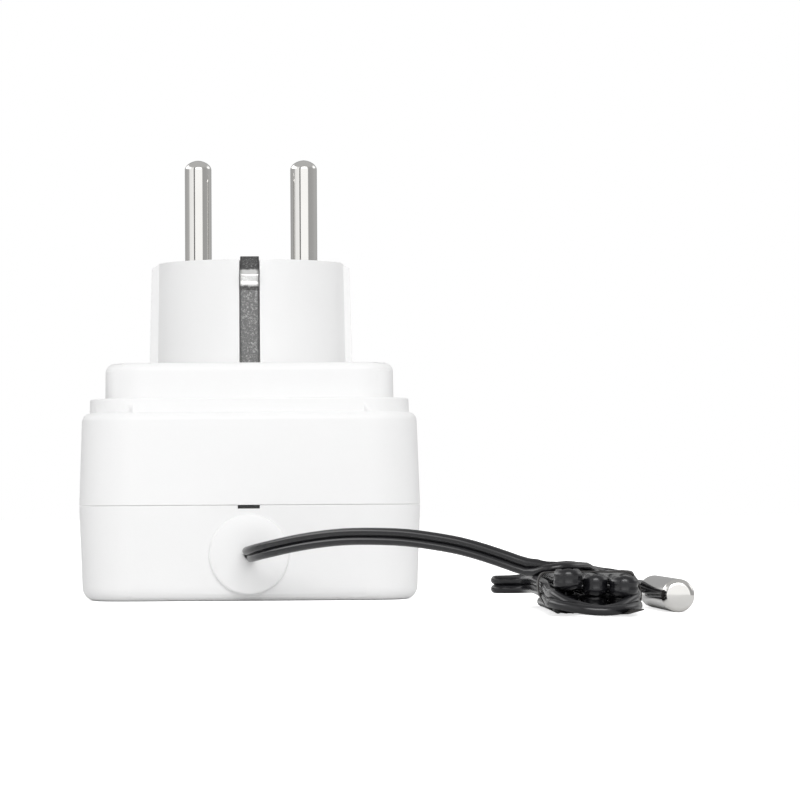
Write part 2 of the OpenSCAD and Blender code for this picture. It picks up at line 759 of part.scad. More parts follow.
module lead_hank() color("black") difference() {
    translate([hank_x, hank_y, 0]) plate(hank_w, hank_l, hank_h, hank_w / 2 - 0.5);
    tie_ring(0);
}

// Band of the tie; the hank is pressed in under it
module tie_ring(g) {
    outer = hank_w / 2 + 0.2;
    translate([hank_x, tie_y - tie_w / 2, 0]) difference() {
        box_at(-outer, outer, 0, tie_w, 0, hank_h + 0.2);
        box_at(tie_t - outer, outer - tie_t, -1, tie_w + 1, tie_t, hank_h + 0.2 - tie_t);
    }
}

module hank_tie() color("dimgray") tie_ring(0);

// Puts its children at the probe's cable end, with z along the probe
module on_probe() {
    translate([probe_x, probe_y, probe_d / 2]) rotate([90, 0, probe_turn]) children();
}

// Steel sleeve with a closed, rounded end towards -Y
module probe_sleeve() color("gainsboro") on_probe() difference() {
    rotate_extrude() polygon(concat([[0, 0], [probe_d / 2, 0]],
        [for (a = [0:15:90]) [probe_d / 2 - 1 + cos(a), probe_l - 1 + sin(a)]], [[0, probe_l]]));
    rod(probe_d / 2 - sleeve_wall, -1, probe_l - 1);
}

module thermistor() color("saddlebrown") on_probe() rod(1.1, probe_l - 5, probe_l - 1.2);
module probe_potting() color("dimgray") on_probe() rod(probe_d / 2 - sleeve_wall - snug, 0, probe_l - 5);

front_shell();
rear_shell();
plug_collar();
live_pin();
neutral_pin();
plug_earth_strip();
live_feed_strip();
live_load_strip();
neutral_strip();
insulating_washer();
earth_post();
contact_carrier();
live_receptacle();
neutral_receptacle();
socket_earth_bracket();
socket_insert();
shutter();
shutter_spring();
carrier_screws();
collar_screws();
case_screws();
display_window();
display_glass();
display_frame();
display_contacts();
display_board();
display_board_screws();
mode_key();
up_key();
down_key();
set_key();
mode_plunger();
up_plunger();
down_plunger();
set_plunger();
key_switches();
display_chip();
memory_cell();
cell_clip();
probe_header();
probe_plug();
inner_lead();
lead_bush();
lead_stop();
power_board();
power_board_screws();
relay();
dropper_capacitor();
smoothing_capacitor();
varistor();
fuse();
meter_chip();
board_link();
sensor_lead();
lead_hank();
hank_tie();
probe_lead();
probe_sleeve();
thermistor();
probe_potting();
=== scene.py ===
"""Plug-in power meter with a temperature probe: finishes, cord and the fine shapes round the frame."""

import json
import math

import bmesh
import bpy
import numpy as np
from mathutils import Matrix, Vector


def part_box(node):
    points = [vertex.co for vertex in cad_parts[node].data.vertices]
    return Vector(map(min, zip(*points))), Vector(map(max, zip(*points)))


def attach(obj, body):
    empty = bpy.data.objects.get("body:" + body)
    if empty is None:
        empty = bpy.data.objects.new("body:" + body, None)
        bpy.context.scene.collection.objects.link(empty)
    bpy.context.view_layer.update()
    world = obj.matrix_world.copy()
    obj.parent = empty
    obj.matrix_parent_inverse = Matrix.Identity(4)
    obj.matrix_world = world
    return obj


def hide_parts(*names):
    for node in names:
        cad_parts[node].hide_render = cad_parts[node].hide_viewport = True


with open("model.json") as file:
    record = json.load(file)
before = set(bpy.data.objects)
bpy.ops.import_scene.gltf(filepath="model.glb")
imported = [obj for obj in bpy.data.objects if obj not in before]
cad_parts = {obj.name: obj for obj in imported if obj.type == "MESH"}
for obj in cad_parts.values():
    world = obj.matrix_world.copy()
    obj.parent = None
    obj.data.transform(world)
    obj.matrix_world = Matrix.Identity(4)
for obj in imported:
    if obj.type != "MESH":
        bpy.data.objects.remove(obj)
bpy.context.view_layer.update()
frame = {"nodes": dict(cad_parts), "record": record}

MM = 0.001
MM_PER_METRE = 1000


# ---------------------------------------------------------------- camera, lamps and floor

def look_through(place, yaw, pitch, roll, focal):
    """A camera at place, turned yaw from +Y towards +X, pitched up and rolled about its line of sight."""
    camera = bpy.data.objects.new("camera", bpy.data.cameras.new("camera"))
    bpy.context.scene.collection.objects.link(camera)
    yaw, pitch, roll = (math.radians(a) for a in (yaw, pitch, roll))
    ahead = Vector((math.sin(yaw) * math.cos(pitch), math.cos(yaw) * math.cos(pitch), math.sin(pitch)))
    level = Vector((math.cos(yaw), -math.sin(yaw), 0))
    right = level * math.cos(roll) + level.cross(ahead) * math.sin(roll)
    up = right.cross(ahead)
    camera.matrix_world = Matrix((right, up, -ahead)).transposed().to_4x4()
    camera.location = place
    camera.data.lens = focal
    camera.data.sensor_width = 36
    camera.data.clip_start, camera.data.clip_end = 0.01, 20
    bpy.context.scene.camera = camera


look_through(Vector((12.23, -671.71, 16.08)) * MM, yaw=1.28, pitch=1.693, roll=-0.342, focal=161.4)
bpy.context.scene.view_settings.view_transform = "Standard"


def soft_lamp(name, place, aim, size, power, mirrored=False):
    """A flat lamp aimed at a point. Only a mirrored one shows in glossy surfaces."""
    lamp = bpy.data.objects.new(name, bpy.data.lights.new(name, "AREA"))
    bpy.context.scene.collection.objects.link(lamp)
    lamp.data.shape = "RECTANGLE"
    lamp.data.size, lamp.data.size_y = size
    lamp.data.energy = power
    lamp.visible_glossy = mirrored
    lamp.location = place
    lamp.rotation_euler = (Vector(aim) - Vector(place)).to_track_quat("-Z", "Y").to_euler()


MIDDLE = (0, -0.03, 0.035)
soft_lamp("top_softbox", (0.05, -0.15, 0.75), MIDDLE, (0.9, 0.9), 1.9)
soft_lamp("front_softbox", (0.1, -1.15, 0.65), MIDDLE, (0.9, 0.5), 7.2, mirrored=True)
soft_lamp("left_softbox", (-0.75, -0.45, 0.35), MIDDLE, (0.5, 0.6), 0.5)
soft_lamp("right_softbox", (0.8, -0.35, 0.3), MIDDLE, (0.5, 0.6), 0.4)
soft_lamp("back_softbox", (0.1, 1.15, 0.6), MIDDLE, (0.9, 0.5), 3.0)


# ---------------------------------------------------------------- shader expressions

class Link:
    """One output of a node, with sums written as Python expressions."""

    def __init__(self, paint, socket):
        self.paint, self.socket = paint, socket

    def sum_with(self, operation, first, second):
        return self.paint.node("ShaderNodeMath", {"operation": operation}, {0: first, 1: second})

    def __add__(self, other):
        return self.sum_with("ADD", self, other)

    def __radd__(self, other):
        return self.sum_with("ADD", other, self)

    def __sub__(self, other):
        return self.sum_with("SUBTRACT", self, other)

    def __rsub__(self, other):
        return self.sum_with("SUBTRACT", other, self)

    def __mul__(self, other):
        return self.sum_with("MULTIPLY", self, other)

    def __rmul__(self, other):
        return self.sum_with("MULTIPLY", other, self)


class Paint:
    """A material, or the world, and the one method that adds a node to it."""

    def __init__(self, name, owner=None):
        self.material = owner or bpy.data.materials.new(name)
        self.material.use_nodes = True
        self.tree = self.material.node_tree
        self.tree.nodes.clear()

    def node(self, kind, settings=None, inputs=None, output=0):
        made = self.tree.nodes.new(kind)
        for key, value in (settings or {}).items():
            if key == "stops":
                self.set_stops(made.color_ramp, value)
            else:
                setattr(made, key, value)
        for key, value in (inputs or {}).items():
            if isinstance(value, Link):
                self.tree.links.new(value.socket, made.inputs[key])
            else:
                made.inputs[key].default_value = value
        return Link(self, made.outputs[output]) if made.outputs else made

    @staticmethod
    def set_stops(ramp, stops):
        while len(ramp.elements) < len(stops):
            ramp.elements.new(0.5)
        for element, (place, level) in zip(ramp.elements, stops):
            element.position = place
            element.color = (level, level, level, 1)

    def place(self, output="Object"):
        return self.node("ShaderNodeTexCoord", output=output)

    def noise(self, scale, detail=2.0, roughness=0.5, at=None):
        at = at or self.place()
        inputs = {"Vector": at, "Scale": scale, "Detail": detail, "Roughness": roughness}
        return self.node("ShaderNodeTexNoise", None, inputs)

    def ramp(self, value, *stops):
        return self.node("ShaderNodeValToRGB", {"stops": stops}, {"Fac": value})

    def mixed(self, share, dark, light):
        inputs = {"Factor": share, "A": (*dark, 1), "B": (*light, 1)}
        made = self.tree.nodes.new("ShaderNodeMix")
        made.data_type = "RGBA"
        for socket in made.inputs:
            if socket.enabled and socket.name in inputs:
                value = inputs[socket.name]
                if isinstance(value, Link):
                    self.tree.links.new(value.socket, socket)
                else:
                    socket.default_value = value
        return Link(self, next(s for s in made.outputs if s.enabled))

    def bump(self, height, strength, distance):
        inputs = {"Height": height, "Strength": strength, "Distance": distance}
        return self.node("ShaderNodeBump", None, inputs)

    def finish(self, **inputs):
        named = {key.replace("_", " "): value for key, value in inputs.items()}
        shader = self.node("ShaderNodeBsdfPrincipled", None, named)
        self.node("ShaderNodeOutputMaterial", None, {"Surface": shader})
        return self.material


# ---------------------------------------------------------------- finishes

def moulded(name, colour, roughness, grain=0.05, relief=0.00002, scale=2600):
    """Moulded plastic: faint mottling, an uneven gloss and a fine even grain in its skin."""
    paint = Paint(name)
    cloud = paint.noise(45, 3)
    fine = paint.noise(scale, 2, 0.6)
    dark = tuple(c * (1 - grain) for c in colour)
    base = paint.mixed(cloud * 0.7 + fine * 0.3, dark, colour)
    gloss = roughness + (fine - 0.5) * 0.12
    return paint.finish(Base_Color=base, Roughness=gloss, Normal=paint.bump(fine, 0.5, relief))


def plated(name, colour, roughness, brushed=0.12):
    """Plated or drawn metal with a faint lengthwise grain."""
    paint = Paint(name)
    stretch = paint.node("ShaderNodeMapping", None, {"Vector": paint.place(), "Scale": (1, 1, 0.05)})
    lines = paint.noise(3000, 2, 0.6, at=stretch)
    haze = paint.noise(220, 3)
    base = paint.mixed(haze, tuple(c * 0.93 for c in colour), colour)
    gloss = roughness + lines * brushed * 0.5 + haze * brushed * 0.5
    return paint.finish(
        Base_Color=base, Metallic=1.0, Roughness=gloss, Normal=paint.bump(lines, 0.15, 0.000005)
    )


def strip_with_painted_light(name):
    """Dull, scuffed nickel strip, with painted highlight bands across its bulge and painted shade along its
    edges.
    """
    paint = Paint(name)
    at = paint.place()
    across, height = [
        paint.node("ShaderNodeSeparateXYZ", None, {"Vector": at}, output=axis) * MM_PER_METRE
        for axis in (0, 2)]
    specks = paint.ramp(paint.noise(3400, 4, 0.75), (0.5, 0.0), (0.68, 1.0))
    slanted = {"Vector": at, "Rotation": (0, 0.6, 0), "Scale": (1, 1, 0.25)}
    streak_at = paint.node("ShaderNodeMapping", None, slanted)
    scratches = paint.ramp(paint.noise(1300, 2, 0.5, at=streak_at), (0.66, 0.0), (0.72, 1.0))
    wobble = (paint.noise(900, 2) - 0.5) * 0.6
    wear_and_highlight = specks * 0.3 + scratches * 0.35
    # Painted highlight: bright bands across the bulge, where the bent strip would mirror light from above,
    # added to its real specks and scratches
    for middle, half, soft, share in PAINTED_HIGHLIGHT_BANDS:
        far = paint.node("ShaderNodeMath", {"operation": "ABSOLUTE"}, {0: height + wobble - middle})
        band = paint.ramp(
            far * RAMP_SCALE, ((half - soft) * RAMP_SCALE, 1.0), ((half + soft) * RAMP_SCALE, 0.0))
        wear_and_highlight = wear_and_highlight + band * share
    wear_and_highlight = paint.node("ShaderNodeMath", {"operation": "MINIMUM"}, {0: wear_and_highlight, 1: 1.0})
    # Painted shade: the strip is darker towards its edges
    from_middle = paint.node("ShaderNodeMath", {"operation": "ABSOLUTE"}, {0: across}) * RAMP_SCALE
    edge = STRIP_EDGE * RAMP_SCALE
    painted_edge_shade = paint.ramp(from_middle, (edge - STRIP_EDGE_SOFT, 1.0), (edge, STRIP_EDGE_LEVEL))
    base = paint.mixed((0.07 + wear_and_highlight * 0.93) * painted_edge_shade, (0.075, 0.075, 0.075), (0.93, 0.93, 0.92))
    relief = paint.bump(paint.noise(3200, 3, 0.7), 0.5, 0.00002)
    return paint.finish(Base_Color=base, Metallic=1.0, Roughness=0.3 + specks * 0.15, Normal=relief)


def pvc(name):
    """Black PVC of the twin lead: satin, with faint drawing lines along it."""
    paint = Paint(name)
    cloud = paint.noise(160, 3)
    fine = paint.noise(3500, 2)
    base = paint.mixed(cloud, (0.005, 0.005, 0.006), (0.009, 0.009, 0.011))
    return paint.finish(Base_Color=base, Roughness=0.2 + fine * 0.08, Normal=paint.bump(fine, 0.2, 0.000006))


def glass(name):
    paint = Paint(name)
    haze = paint.noise(90, 3)
    return paint.finish(Base_Color=(0.93, 0.95, 0.95, 1), Roughness=0.04 + haze * 0.04, Alpha=0.35)


# The strip's painted highlight bands: height, half of the width and softness in millimetres, and share of the
# full brightness
PAINTED_HIGHLIGHT_BANDS = ((57.15, 0.45, 0.15, 1.0), (55.15, 0.36, 0.15, 0.9), (56.15, 0.8, 0.3, 0.45))
# Where the strip's painted edge shade starts from its middle, the ramp's width there and the level beyond it
STRIP_EDGE, STRIP_EDGE_SOFT, STRIP_EDGE_LEVEL = 1.6, 0.2, 0.35
# A ramp ends at 1, so distances in millimetres are halved and it reaches 2 mm
RAMP_SCALE = 0.5

FINISHES = {
    "housing_white": lambda n: moulded(n, (0.87, 0.87, 0.87), 0.5),
    "collar_white": lambda n: moulded(n, (0.86, 0.86, 0.86), 0.42),
    "bush_white": lambda n: moulded(n, (0.87, 0.87, 0.87), 0.45),
    "outlet_white": lambda n: moulded(n, (0.78, 0.78, 0.78), 0.35),
    "ivory_plastic": lambda n: moulded(n, (0.70, 0.66, 0.55), 0.5),
    "shutter_grey": lambda n: moulded(n, (0.62, 0.62, 0.62), 0.45),
    "nickel_pin": lambda n: plated(n, (0.74, 0.73, 0.71), 0.06, brushed=0.03),
    "earth_nickel": lambda n: plated(n, (0.62, 0.61, 0.58), 0.28),
    "contact_brass": lambda n: plated(n, (0.75, 0.56, 0.25), 0.3),
    "fibre_card": lambda n: moulded(n, (0.42, 0.28, 0.16), 0.7),
    "spring_steel": lambda n: plated(n, (0.45, 0.45, 0.46), 0.3),
    "screw_steel": lambda n: plated(n, (0.58, 0.58, 0.57), 0.3),
    "clear_window": glass,
    "display_glass": lambda n: moulded(n, (0.40, 0.46, 0.38), 0.25),
    "black_rubber": lambda n: moulded(n, (0.03, 0.03, 0.03), 0.7),
    "board_green": lambda n: moulded(n, (0.03, 0.16, 0.08), 0.35),
    "board_tan": lambda n: moulded(n, (0.48, 0.33, 0.16), 0.5),
    "key_grey": lambda n: moulded(n, (0.32, 0.33, 0.35), 0.5),
    "black_plastic": lambda n: moulded(n, (0.03, 0.03, 0.03), 0.45),
    "cell_steel": lambda n: plated(n, (0.65, 0.65, 0.65), 0.25),
    "relay_blue": lambda n: moulded(n, (0.02, 0.12, 0.35), 0.4),
    "capacitor_yellow": lambda n: moulded(n, (0.62, 0.44, 0.04), 0.4),
    "capacitor_blue": lambda n: moulded(n, (0.02, 0.04, 0.18), 0.35),
    "varistor_blue": lambda n: moulded(n, (0.04, 0.18, 0.42), 0.35),
    "fuse_ceramic": lambda n: moulded(n, (0.7, 0.68, 0.64), 0.3),
    "lead_black": pvc,
    "tie_black": lambda n: moulded(n, (0.012, 0.010, 0.009), 0.55),
    "probe_steel": lambda n: plated(n, (0.72, 0.71, 0.69), 0.07, brushed=0.05),
}
finishes = {name: make(name) for name, make in FINISHES.items()}
# The earth strip's paint: real specks and scratches, with painted highlight bands and painted edge shade
nickel_with_painted_light = strip_with_painted_light("nickel_painted_light")
slot_of = {row["node"]: row["material_slot"] for row in frame["record"]["subparts"]}
for name, piece in frame["nodes"].items():
    piece.data.materials.clear()
    piece.data.materials.append(finishes[slot_of[name]])


# ---------------------------------------------------------------- mesh helpers, in millimetres

# Edges sharper than these angles stay sharp, on most pieces, turned pieces and swept ones
SMOOTH, LATHE_SMOOTH, SWEEP_SMOOTH = 35, 30, 50
# Two heights closer than this are the same
SAME = 0.01


def mesh_object(name, vertices, faces, smooth_angle=SMOOTH):
    mesh = bpy.data.meshes.new(name)
    mesh.from_pydata([tuple(v) for v in np.asarray(vertices) * MM], [], faces)
    return shaded_object(name, mesh, smooth_angle)


def shaded_object(name, mesh, smooth_angle):
    """An object of the mesh with outward faces, smooth except at edges sharper than smooth_angle."""
    form = bmesh.new()
    form.from_mesh(mesh)
    bmesh.ops.recalc_face_normals(form, faces=form.faces)
    form.to_mesh(mesh)
    form.free()
    mesh.update()
    mesh.shade_smooth()
    mesh.set_sharp_from_angle(angle=math.radians(smooth_angle))
    piece = bpy.data.objects.new(name, mesh)
    bpy.context.scene.collection.objects.link(piece)
    return piece


def settled(piece):
    """Applies the piece's modifiers, so that its mesh is final."""
    seen = piece.evaluated_get(bpy.context.evaluated_depsgraph_get())
    mesh = bpy.data.meshes.new_from_object(seen)
    piece.modifiers.clear()
    piece.data = mesh
    return piece


def fit_out(piece, slot, *nodes, body="housing", material=None):
    """Gives a finished piece its material, its body and the CAD nodes that it stands for."""
    piece.data.materials.clear()
    piece.data.materials.append(material or finishes[slot])
    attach(piece, body)
    if nodes:
        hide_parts(*nodes)
    return piece


def skin_of(node, ease=0.0, sharp=32, reshape=None):
    """A copy of a CAD node, merged and evenly shaded, with its edges eased by ease millimetres."""
    form = bmesh.new()
    form.from_mesh(frame["nodes"][node].data)
    bmesh.ops.remove_doubles(form, verts=form.verts, dist=0.001 * MM)
    bmesh.ops.dissolve_limit(form, angle_limit=math.radians(0.3), verts=form.verts, edges=form.edges)
    if reshape:
        reshape(form)
    mesh = bpy.data.meshes.new(node + "_skin")
    form.to_mesh(mesh)
    form.free()
    skin = shaded_object(node + "_skin", mesh, sharp)
    if ease:
        bevel = skin.modifiers.new("ease", "BEVEL")
        bevel.width, bevel.segments = ease * MM, 2
        bevel.limit_method, bevel.angle_limit = "ANGLE", math.radians(sharp)
    even = skin.modifiers.new("even", "WEIGHTED_NORMAL")
    even.keep_sharp = True
    return settled(skin)


def lathe(name, profile, base, turn=None, *, steps):
    """A turned solid: profile is (radius, height) from the axis back to the axis or round a ring."""
    closed = profile[0][0] > 0
    turn = turn or Matrix.Identity(3)
    vertices, rings = [], []
    for radius, height in profile:
        count = steps if radius > 0 else 1
        rings.append(range(len(vertices), len(vertices) + count))
        for k in range(count):
            a = 2 * math.pi * k / steps
            place = turn @ Vector((radius * math.cos(a), radius * math.sin(a), height))
            vertices.append(place + Vector(base))
    pairs = list(zip(rings, rings[1:] + rings[:1] if closed else rings[1:]))
    faces = []
    for low, high in pairs:
        for k in range(steps):
            corners = [low[k % len(low)], low[(k + 1) % len(low)],
                       high[(k + 1) % len(high)], high[k % len(high)]]
            faces.append(list(dict.fromkeys(corners)))
    return mesh_object(name, [tuple(v) for v in vertices], [f for f in faces if len(f) > 2], LATHE_SMOOTH)


def arc(centre, radius, start, end, steps=8):
    """Points on an arc of a profile, angles in degrees from the outward direction."""
    angles = [math.radians(start + (end - start) * k / steps) for k in range(steps + 1)]
    return [(centre[0] + radius * math.cos(a), centre[1] + radius * math.sin(a)) for a in angles]


def in_mm(node):
    """A CAD node's lowest and highest corners in millimetres."""
    low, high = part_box(node)
    return Vector(low) / MM, Vector(high) / MM


def joined(name, pieces):
    """One object out of several new pieces."""
    form = bmesh.new()
    for piece in pieces:
        form.from_mesh(piece.data)
        bpy.data.objects.remove(piece)
    mesh = bpy.data.meshes.new(name)
    form.to_mesh(mesh)
    form.free()
    return shaded_object(name, mesh, SMOOTH)


# ---------------------------------------------------------------- housing

# The parting line between the shells, and half of the gap that is opened there
SEAM_Z, SEAM_HALF = 16.4, 0.1
# The pry slot: half of its width, its height here, and where the frame has its floor
SLOT_HALF, SLOT_H, SLOT_FLOOR_Z = 1.9, 0.6, 15.65


def rim_moved(by):
    """A reshaping that moves a shell's rim by so many millimetres, and lifts the pry slot's floor."""
    def reshape(form):
        for vertex in form.verts:
            x, _, z = vertex.co / MM
            if abs(z - SEAM_Z) < SAME:
                vertex.co.z += by * MM
            elif abs(x) < SLOT_HALF + SAME and abs(z - SLOT_FLOOR_Z) < SAME:
                vertex.co.z = (SEAM_Z - SLOT_H) * MM
    return reshape


fit_out(skin_of("front_shell", reshape=rim_moved(-SEAM_HALF)), "housing_white", "front_shell")
fit_out(skin_of("rear_shell", reshape=rim_moved(SEAM_HALF)), "housing_white", "rear_shell")
fit_out(skin_of("socket_insert", ease=0.15), "outlet_white", "socket_insert")
fit_out(skin_of("display_window", ease=0.1), "clear_window", "display_window")

END_Y = in_mm("front_shell")[0].y
BUSH_Z, BUSH_R = 8.0, 6.9
# The bush is moulded round the lead, so its hole is narrower than the lead
CORD_HOLE_R = 0.8


def lead_bush():
    """Round bush with a soft edge, slightly crowned, proud of the end wall and flanged behind it."""
    proud, crown, lip = 0.5, 0.06, 0.12
    back, chamfer = -3.2, 0.2
    edge_r, edge_drop, crown_foot = 0.55, 0.62, 4.5
    profile = (
        [(CORD_HOLE_R, back), (BUSH_R - chamfer, back), (BUSH_R, back + chamfer)]
        + arc((BUSH_R - edge_r, proud - edge_drop), edge_r, 0, 78)
        + [(crown_foot, proud + crown / 2), (CORD_HOLE_R + lip, proud + crown), (CORD_HOLE_R, proud - crown)]
    )
    towards_viewer = Matrix.Rotation(math.radians(90), 3, "X")
    bush = lathe("lead_bush_skin", profile, (0, END_Y, BUSH_Z), towards_viewer, steps=96)
    return fit_out(bush, "bush_white", "lead_bush")


lead_bush()


# ---------------------------------------------------------------- case screws

SCREW_SIZES = {"Head radius": 2.8, "Head height": 2.2, "Shank radius": 1.5, "Length": 15.2,
               "Recess width": 0.75, "Recess length": 3.3, "Recess depth": 1.2}


def screw_tree(material):
    """Geometry Nodes that put a cross-recessed screw, head up, on every point of a mesh. Sizes in metres."""
    tree = bpy.data.node_groups.new("case_screws", "GeometryNodeTree")
    tree.interface.new_socket("Places", in_out="INPUT", socket_type="NodeSocketGeometry")
    for name in SCREW_SIZES:
        tree.interface.new_socket(name, in_out="INPUT", socket_type="NodeSocketFloat")
    tree.interface.new_socket("Screws", in_out="OUTPUT", socket_type="NodeSocketGeometry")

    def node(kind, settings=None, inputs=None):
        made = tree.nodes.new(kind)
        for key, value in (settings or {}).items():
            setattr(made, key, value)
        for key, value in (inputs or {}).items():
            for each in value if isinstance(value, list) else [value]:
                if isinstance(each, bpy.types.NodeSocket):
                    tree.links.new(each, made.inputs[key])
                else:
                    made.inputs[key].default_value = each
        return made.outputs[0] if made.outputs else made

    def times(value, factor):
        return node("ShaderNodeMath", {"operation": "MULTIPLY"}, {0: value, 1: factor})

    def lifted(shape, z):
        offset = node("ShaderNodeCombineXYZ", None, {"Z": z})
        return node("GeometryNodeTransform", None, {"Geometry": shape, "Translation": offset})

    given = tree.nodes.new("NodeGroupInput").outputs
    head = node("GeometryNodeMeshCylinder", None,
                {"Vertices": 48, "Radius": given["Head radius"], "Depth": given["Head height"]})
    shank = node("GeometryNodeMeshCylinder", None,
                 {"Vertices": 32, "Radius": given["Shank radius"], "Depth": given["Length"]})
    bars = []
    for length, width in (("Recess length", "Recess width"), ("Recess width", "Recess length")):
        size = node("ShaderNodeCombineXYZ", None,
                    {"X": given[length], "Y": given[width], "Z": times(given["Recess depth"], 2.0)})
        bars.append(node("GeometryNodeMeshCube", None, {"Size": size}))
    parts = [lifted(head, times(given["Head height"], -0.5)), lifted(shank, times(given["Length"], -0.5))]
    solid = node("GeometryNodeMeshBoolean", {"operation": "UNION"}, {"Mesh 2": parts})
    cut = node("GeometryNodeMeshBoolean", {"operation": "DIFFERENCE"}, {"Mesh 1": solid, "Mesh 2": bars})
    placed = node("GeometryNodeInstanceOnPoints", None, {"Points": given["Places"], "Instance": cut})
    real = node("GeometryNodeRealizeInstances", None, {"Geometry": placed})
    finished = node("GeometryNodeSetMaterial", None, {"Geometry": real, "Material": material})
    tree.links.new(finished, tree.nodes.new("NodeGroupOutput").inputs[0])
    return tree


def case_screws():
    """The four case screws, each where the CAD has one, with a cross recess in its head."""
    low, high = in_mm("case_screws")
    seats = frame["nodes"]["case_screws"].data
    tops = [vertex.co / MM for vertex in seats.vertices if abs(vertex.co.z / MM - high.z) < SAME]
    middle_y = (low.y + high.y) / 2
    places = []
    for sx in (-1, 1):
        for sy in (-1, 1):
            corner = [t for t in tops if t.x * sx > 0 and (t.y - middle_y) * sy > 0]
            xs, ys = [t.x for t in corner], [t.y for t in corner]
            places.append(((min(xs) + max(xs)) / 2, (min(ys) + max(ys)) / 2, high.z))
    screws = mesh_object("case_screws_skin", places, [])
    modifier = screws.modifiers.new("screws", "NODES")
    modifier.node_group = screw_tree(finishes["screw_steel"])
    for socket in modifier.node_group.interface.items_tree:
        if socket.in_out == "INPUT" and socket.name in SCREW_SIZES:
            modifier[socket.identifier] = SCREW_SIZES[socket.name] * MM
    screws = settled(screws)
    screws.data.set_sharp_from_angle(angle=math.radians(35))
    return fit_out(screws, "screw_steel", "case_screws")


case_screws()


# ---------------------------------------------------------------- plug

pin_low, pin_high = in_mm("live_pin")
PLUG_Y = (pin_low.y + pin_high.y) / 2
PIN_X = (pin_low.x + pin_high.x) / 2
COLLAR_TOP = in_mm("plug_collar")[1].z
COLLAR_ROOT = in_mm("rear_shell")[1].z
# The collar's scale at its root, and how much it loses by its top
COLLAR_ROOT_SCALE, COLLAR_DRAFT = 1.003, 0.013
# The side pads: where their tops meet the collar's, the slope of those tops, and how far they are pressed in
PAD_X, PAD_DROP = 16.3, 0.5
PAD_FOOT_X, PAD_SQUEEZE = 15.0, 0.11


def shape_collar(form):
    """Slopes the tops of the side pads and gives the collar its draft."""
    for side in (-1, 1):
        slope = Vector((side * PAD_DROP, 0, 1)).normalized()
        cut = bmesh.ops.bisect_plane(
            form, geom=form.verts[:] + form.edges[:] + form.faces[:], dist=1e-7, clear_outer=True,
            plane_co=Vector((side * PAD_X, PLUG_Y, COLLAR_TOP)) * MM, plane_no=slope)
        edges = [e for e in cut["geom_cut"] if isinstance(e, bmesh.types.BMEdge)]
        bmesh.ops.holes_fill(form, edges=edges, sides=0)
    for vertex in form.verts:
        height = vertex.co.z / MM - COLLAR_ROOT
        if height > 0:
            scale = COLLAR_ROOT_SCALE - COLLAR_DRAFT * height / (COLLAR_TOP - COLLAR_ROOT)
            vertex.co.x *= scale
            beyond = abs(vertex.co.x) / MM - PAD_FOOT_X
            if beyond > 0:
                vertex.co.x -= math.copysign(beyond * PAD_SQUEEZE * MM, vertex.co.x)
            vertex.co.y = PLUG_Y * MM + (vertex.co.y - PLUG_Y * MM) * scale


fit_out(skin_of("plug_collar", ease=0.14, reshape=shape_collar), "collar_white", "plug_collar")
earth_strip = skin_of("plug_earth_strip", ease=0.1, sharp=25)
# Its material carries painted highlights and painted shade at the edges
fit_out(earth_strip, "earth_nickel", "plug_earth_strip", material=nickel_with_painted_light)


def plug_pin(node, x):
    """Solid pin with a rounded tip, and the thicker shank and shoulder that hold it in the collar."""
    radius, shank_r, shoulder_r, shoulder_h = 2.4, 2.8, 3.5, 1.2
    dome, dome_power, dome_steps = 1.75, 1.12, 14
    tip, root, step_z = pin_high.z, pin_low.z, COLLAR_TOP - 0.02
    angles = [math.radians(90 * k / dome_steps) for k in range(dome_steps)]
    dome_arc = [(radius * math.cos(a) ** dome_power, tip - dome + dome * math.sin(a)) for a in angles]
    profile = [(0, root), (shoulder_r, root), (shoulder_r, root + shoulder_h), (shank_r, root + shoulder_h),
               (shank_r, step_z), (radius, step_z)] + dome_arc + [(0, tip)]
    pin = lathe(node + "_skin", profile, (x, PLUG_Y, 0), steps=96)
    return fit_out(pin, "nickel_pin", node)


plug_pin("live_pin", PIN_X)
plug_pin("neutral_pin", -PIN_X)


# ---------------------------------------------------------------- keys

DOT_R = 0.55
# Outlines of the keys' inlaid marks, as (x, y) from the key's middle: a dot, two arrows and a bar
MARKS = {
    "mode": arc((0, 0), DOT_R, 0, 340, 17),
    "up": [(-0.85, -0.55), (0.85, -0.55), (0, 0.85)],
    "down": [(-0.85, 0.55), (0, -0.85), (0.85, 0.55)],
    "set": [(-0.9, -0.25), (0.9, -0.25), (0.9, 0.25), (-0.9, 0.25)],
}
# How deep in the key a mark starts and ends, and the share of its outline that its face keeps
MARK_BASE, MARK_FACE, MARK_TAPER = 0.4, 0.06, 0.85


def key_mark(name, middle, face_z):
    """White mark inlaid in a key, which stands up in its dish, short of the key's rim."""
    outline = MARKS[name]
    low = [(middle.x + x, middle.y + y, face_z + MARK_BASE) for x, y in outline]
    high = [(middle.x + x * MARK_TAPER, middle.y + y * MARK_TAPER, face_z + MARK_FACE) for x, y in outline]
    count = len(outline)
    sides = [[k, (k + 1) % count, count + (k + 1) % count, count + k] for k in range(count)]
    faces = [list(range(count)), list(range(count, 2 * count))] + sides
    return mesh_object(name + "_mark", low + high, faces)


# Height of a key's cap below its flange, and how far the flange stands out
CAP_H, FLANGE_W = 1.95, 0.9


